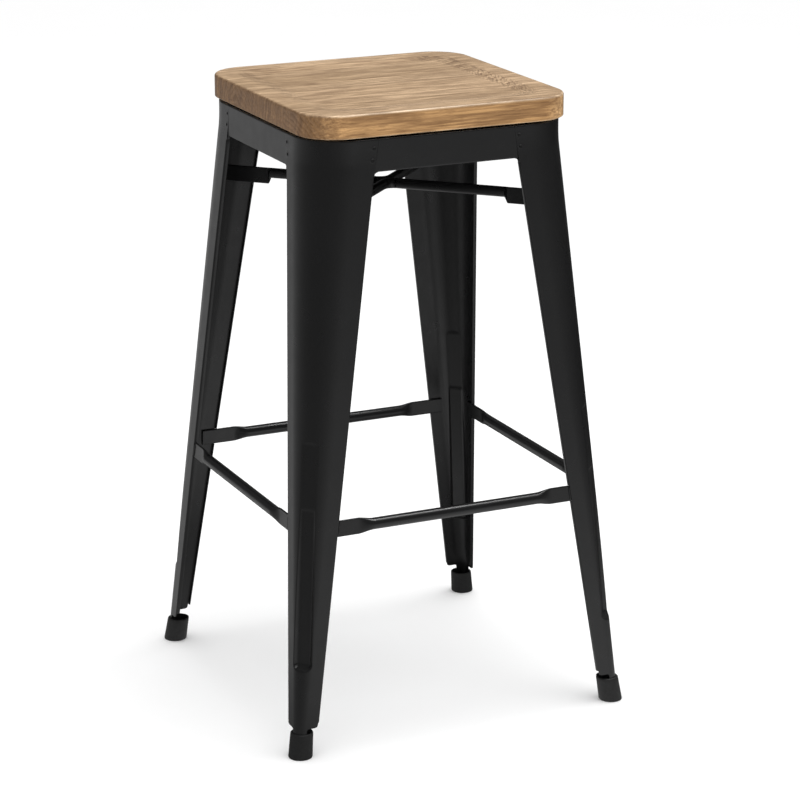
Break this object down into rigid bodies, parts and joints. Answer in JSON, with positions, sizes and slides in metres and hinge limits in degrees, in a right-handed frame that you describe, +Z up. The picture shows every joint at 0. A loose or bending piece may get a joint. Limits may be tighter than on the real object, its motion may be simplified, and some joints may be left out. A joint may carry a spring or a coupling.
{
  "type": "bar stool",
  "caption": "Bar-height stool: square wooden board seat on splayed folded sheet-steel legs, with a ring of tube footrest rails, a cross brace and rubber foot caps.",
  "frame": {"origin": "centre of the footprint at floor level, where the foot caps rest", "axes": "+Z up, -Y towards the front, +X to the right as seen from the front; the wood grain runs along X"},
  "size_m": [0.4496, 0.4496, 0.76],
  "materials": {
    "seat_wood": "brushed elm with open grain and a matt clear coat",
    "frame_steel": "black powder coat, satin",
    "foot_rubber": "black moulded rubber, matt",
    "screw_steel": "zinc-plated steel"
  },
  "bodies": {
    "root": {"seat_stave_front": "seat_wood", "seat_stave_mid_front": "seat_wood", "seat_stave_mid_back": "seat_wood", "seat_stave_back": "seat_wood", "seat_pan": "frame_steel", "seat_screws": "screw_steel", "apron_front": "frame_steel", "apron_right": "frame_steel", "apron_back": "frame_steel", "apron_left": "frame_steel", "leg_front_left": "frame_steel", "leg_front_right": "frame_steel", "leg_back_left": "frame_steel", "leg_back_right": "frame_steel", "brace_tube_front": "frame_steel", "brace_tube_back": "frame_steel", "brace_welds": "frame_steel", "footrest_rail_front": "frame_steel", "footrest_rail_right": "frame_steel", "footrest_rail_back": "frame_steel", "footrest_rail_left": "frame_steel", "rail_welds": "frame_steel", "foot_cap_front_left": "foot_rubber", "foot_cap_front_right": "foot_rubber", "foot_cap_back_left": "foot_rubber", "foot_cap_back_right": "foot_rubber"}
  },
  "joints": []
}
